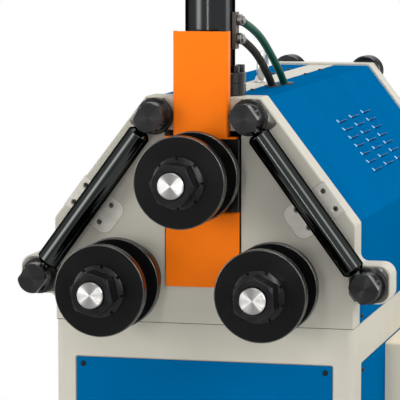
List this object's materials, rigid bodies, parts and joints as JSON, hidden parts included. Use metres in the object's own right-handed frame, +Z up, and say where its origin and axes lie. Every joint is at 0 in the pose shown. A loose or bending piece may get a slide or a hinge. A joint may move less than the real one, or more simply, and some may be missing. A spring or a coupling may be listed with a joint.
{
  "type": "hydraulic ring roller",
  "caption": "Floor-standing ring bending machine: driven lower rolls, a top roll on a hydraulic slide, slanted guide bars, blue covers and a cabinet with an electric box.",
  "frame": {"origin": "on the floor under the middle of the cabinet's footprint", "axes": "+X to the machine's right seen from the front, +Y from the front plate to the rear plate, +Z up"},
  "size_m": [0.8159, 1.436, 1.517],
  "materials": {
    "cream_paint": "semi-gloss cream grey paint",
    "blue_paint": "gloss blue paint",
    "orange_paint": "gloss orange paint",
    "black_oxide": "black oxide steel, satin",
    "black_paint": "gloss black paint",
    "polished_steel": "turned bright steel",
    "zinc": "zinc plated",
    "pad_steel": "ground steel",
    "cast_paint": "grey painted casting",
    "gear_steel": "oiled machined steel",
    "green_rubber": "ribbed green hose",
    "black_rubber": "black rubber",
    "port_steel": "brown-grey varnished steel",
    "box_paint": "light grey textured paint",
    "knob_plastic": "black plastic"
  },
  "bodies": {
    "frame": {"front_plate": "cream_paint", "rear_plate": "cream_paint", "tool_pads": "pad_steel", "guide_posts": "black_oxide", "tie_rods": "gear_steel", "tie_nuts": "black_oxide", "guide_bars": "black_paint", "lower_bearings": "polished_steel", "bearing_caps": "black_oxide", "guide_rails": "gear_steel", "top_bridge": "cream_paint", "cylinder_flange": "black_paint", "cylinder_barrel": "black_paint", "cylinder_cap": "black_paint", "flange_bolts": "black_oxide", "port_block": "port_steel", "hose_fittings": "zinc", "green_hose": "green_rubber", "black_hose": "black_rubber", "hose_grommets": "black_rubber", "left_cover": "blue_paint", "right_cover": "blue_paint", "top_strip": "cream_paint", "cover_screws": "black_oxide", "lifting_eye": "zinc", "base_cabinet": "cream_paint", "front_panel": "blue_paint", "cabinet_panels": "blue_paint", "electric_box": "box_paint", "door_hinges": "zinc", "gear_reducer": "cast_paint", "drive_motor": "cast_paint", "oil_tank": "cast_paint", "tank_lid": "gear_steel", "pump_motor": "cast_paint", "oil_pump": "gear_steel", "valve_block": "gear_steel"},
    "slide": {"slide_block": "black_oxide", "slide_nose": "black_oxide", "top_bearings": "polished_steel", "lower_guard": "orange_paint", "upper_guard": "orange_paint", "piston_rod": "polished_steel"},
    "top_roll": {"top_roll_shaft": "polished_steel", "top_roll_discs": "black_oxide", "top_roll_core": "black_oxide", "top_shaft_nut": "black_oxide"},
    "left_roll": {"left_roll_shaft": "polished_steel", "left_roll_discs": "black_oxide", "left_roll_core": "black_oxide", "left_shaft_nut": "black_oxide", "left_drive_gear": "gear_steel"},
    "right_roll": {"right_roll_shaft": "polished_steel", "right_roll_discs": "black_oxide", "right_roll_core": "black_oxide", "right_shaft_nut": "black_oxide", "right_drive_gear": "gear_steel"},
    "pinion": {"drive_pinion": "gear_steel"},
    "box_door": {"electric_door": "box_paint"},
    "latch": {"door_latch": "knob_plastic"}
  },
  "joints": [
    {"name": "slide_travel", "type": "slide", "parent": "frame", "child": "slide", "axis": [0, 0, 1], "range_m": [-0.105, 0]},
    {"name": "top_roll_spin", "type": "hinge", "parent": "slide", "child": "top_roll", "pos_m": [0, -0.692, 1.062], "axis": [0, 1, 0], "continuous": true},
    {"name": "left_roll_spin", "type": "hinge", "parent": "frame", "child": "left_roll", "pos_m": [-0.143, -0.692, 0.87], "axis": [0, 1, 0], "continuous": true},
    {"name": "right_roll_spin", "type": "hinge", "parent": "frame", "child": "right_roll", "pos_m": [0.143, -0.692, 0.87], "axis": [0, 1, 0], "continuous": true},
    {"name": "pinion_spin", "type": "hinge", "parent": "frame", "child": "pinion", "pos_m": [0, 0.252, 0.92441], "axis": [0, 1, 0], "continuous": true},
    {"name": "box_door_swing", "type": "hinge", "parent": "frame", "child": "box_door", "pos_m": [0.4526, 0.269, 0.465], "axis": [0, 0, 1], "range_deg": [0, 110]},
    {"name": "door_latch_turn", "type": "hinge", "parent": "box_door", "child": "latch", "pos_m": [0.467, -0.206, 0.465], "axis": [1, 0, 0], "range_deg": [0, 90]}
  ],
  "couplings": [
    {"joint": "right_roll_spin", "follows": "left_roll_spin", "ratio": 1},
    {"joint": "pinion_spin", "follows": "left_roll_spin", "ratio": -2.4}
  ]
}
